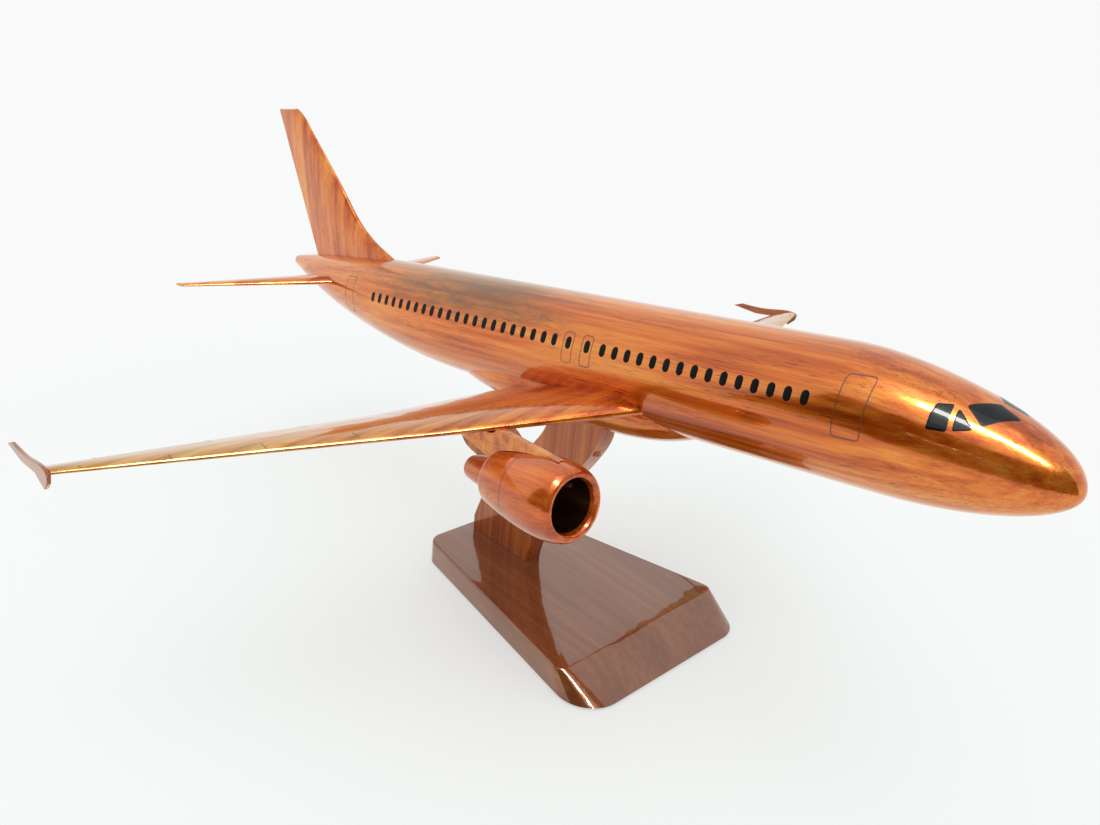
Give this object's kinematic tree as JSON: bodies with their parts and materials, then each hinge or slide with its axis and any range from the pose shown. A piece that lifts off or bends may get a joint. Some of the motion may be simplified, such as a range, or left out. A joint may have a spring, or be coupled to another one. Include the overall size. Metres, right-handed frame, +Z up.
{
  "type": "desktop airliner model",
  "caption": "Carved wooden twin-engine airliner display model with swept wings, resting on pegs in a tilted wooden stand.",
  "frame": {"origin": "centre of the bounding box at the underside of the stand", "axes": "+X towards the nose along the stand, +Y to the aircraft's left, +Z up"},
  "size_m": [0.3925, 0.3444, 0.1581],
  "materials": {
    "mahogany": "gloss clear lacquer over mahogany",
    "stand_wood": "gloss clear lacquer over dark mahogany",
    "window_black": "gloss black inlay",
    "dowel_wood": "plain hardwood",
    "steel": "plain steel",
    "felt": "felt"
  },
  "bodies": {
    "stand": {"base_board": "stand_wood", "stand_upright": "stand_wood", "lift_pegs": "dowel_wood", "base_dowel": "dowel_wood", "base_screws": "steel", "felt_pad": "felt"},
    "aircraft": {"fuselage": "mahogany", "belly_fairing": "mahogany", "wing_right": "mahogany", "wing_left": "mahogany", "wingtip_fence_right": "mahogany", "wingtip_fence_left": "mahogany", "fin": "mahogany", "stabilizer_right": "mahogany", "stabilizer_left": "mahogany", "nacelle_right": "mahogany", "nacelle_left": "mahogany", "exhaust_nozzle_right": "mahogany", "exhaust_nozzle_left": "mahogany", "pylon_right": "mahogany", "pylon_left": "mahogany", "cabin_windows_right": "window_black", "cabin_windows_left": "window_black", "cockpit_panes": "window_black", "wing_dowels_right": "dowel_wood", "wing_dowels_left": "dowel_wood", "fin_dowels": "dowel_wood", "stabilizer_dowels": "dowel_wood", "pylon_pins": "steel"}
  },
  "joints": [
    {"name": "aircraft_lift", "type": "slide", "parent": "stand", "child": "aircraft", "axis": [-0.1461, 0, 0.9893], "range_m": [0, 0.03]}
  ]
}
